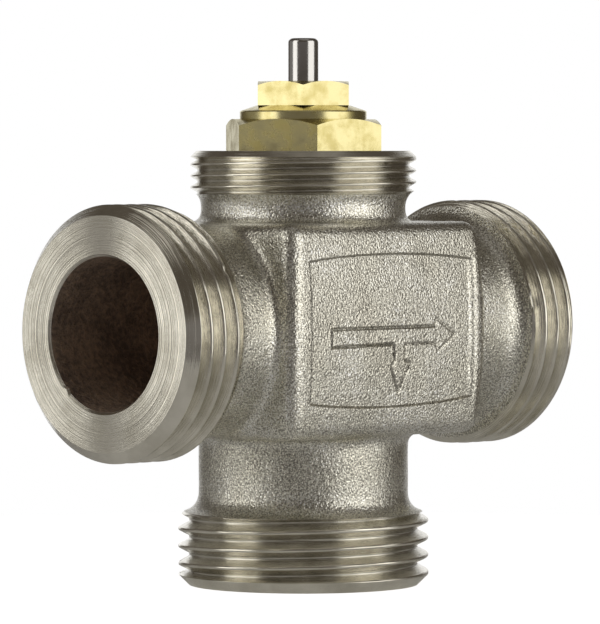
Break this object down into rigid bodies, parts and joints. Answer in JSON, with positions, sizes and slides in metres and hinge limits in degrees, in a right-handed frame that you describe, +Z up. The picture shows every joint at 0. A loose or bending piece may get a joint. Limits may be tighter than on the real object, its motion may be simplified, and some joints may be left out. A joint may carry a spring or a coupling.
{
  "type": "three-way thermostatic valve",
  "caption": "Three-way valve for heating water: one inlet, two outlets and a sprung stem that a thermostatic head presses to move the flow from one outlet to the other.",
  "frame": {"origin": "centre of the bottom port's face, which is the bottom centre of the valve", "axes": "+Z up along the stem, +X along the run from the inlet port to the straight outlet, -Y out of the face with the panel"},
  "size_m": [0.073, 0.0332, 0.0724],
  "materials": {
    "nickel_plate": "shot-blasted nickel plate, machined bright at the threads and faces",
    "brass": "turned, bare",
    "polished_steel": "ground and polished",
    "spring_steel": "drawn wire and strip",
    "rubber": "moulded, matt"
  },
  "bodies": {
    "housing": {"valve_body": "nickel_plate", "bonnet": "brass", "bonnet_o_ring": "rubber", "gland_nut": "brass", "gland_o_ring": "rubber", "gland_washer": "brass", "guide_bush": "brass", "guide_bush_clip": "spring_steel", "return_spring": "spring_steel"},
    "stem": {"push_pin": "polished_steel", "spindle": "polished_steel", "spring_cap": "brass", "spring_cap_clip": "spring_steel", "upper_disc_holder": "brass", "upper_disc_seal": "rubber", "upper_disc_washer": "brass", "upper_disc_clip": "spring_steel", "lower_disc_washer": "brass", "lower_disc_seal": "rubber", "lower_disc_holder": "brass", "lower_lock_nut": "brass"}
  },
  "joints": [
    {"name": "stem_push", "type": "slide", "parent": "housing", "child": "stem", "axis": [0, 0, -1], "range_m": [0, 0.0025], "stiffness_N_per_m": 8000, "springref_m": -0.003, "deforming": ["return_spring"]}
  ]
}
